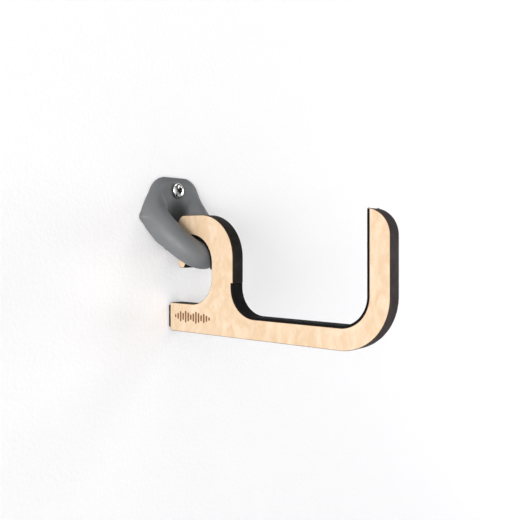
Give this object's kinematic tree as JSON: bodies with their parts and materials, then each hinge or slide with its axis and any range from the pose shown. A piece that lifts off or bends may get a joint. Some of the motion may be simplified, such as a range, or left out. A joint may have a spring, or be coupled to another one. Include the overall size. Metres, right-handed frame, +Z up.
{
  "type": "wall guitar hanger",
  "caption": "Guitar hanger: a moulded bracket screws to the wall, and a plywood J hook with a soft-lined cradle hangs on its loop and braces against the wall.",
  "frame": {"origin": "on the wall plane, in the middle of the bracket's back face, at the height where the loop leaves the plate", "axes": "+Z up; -Y out of the wall into the room, so the hook reaches along -Y; X = 0 is the middle plane of the bracket and the plywood"},
  "size_m": [0.0772, 0.2421, 0.1272],
  "materials": {
    "bracket": "satin grey moulded plastic, slightly cool",
    "screw": "bright nickel plate",
    "plywood": "clear-finished pale birch plywood with laser-burnt dark edges",
    "liner": "matte black soft lining",
    "bumper": "matte black soft pad"
  },
  "bodies": {
    "bracket": {"wall_bracket": "bracket", "upper_screw": "screw", "lower_screw": "screw"},
    "hook": {"hook_arm": "plywood", "cradle_liner": "liner", "hook_liner": "liner", "wall_bumper": "bumper"}
  },
  "joints": [
    {"name": "hook_lift", "type": "slide", "parent": "bracket", "child": "hook", "axis": [0, 0, 1], "range_m": [0, 0.025]}
  ]
}
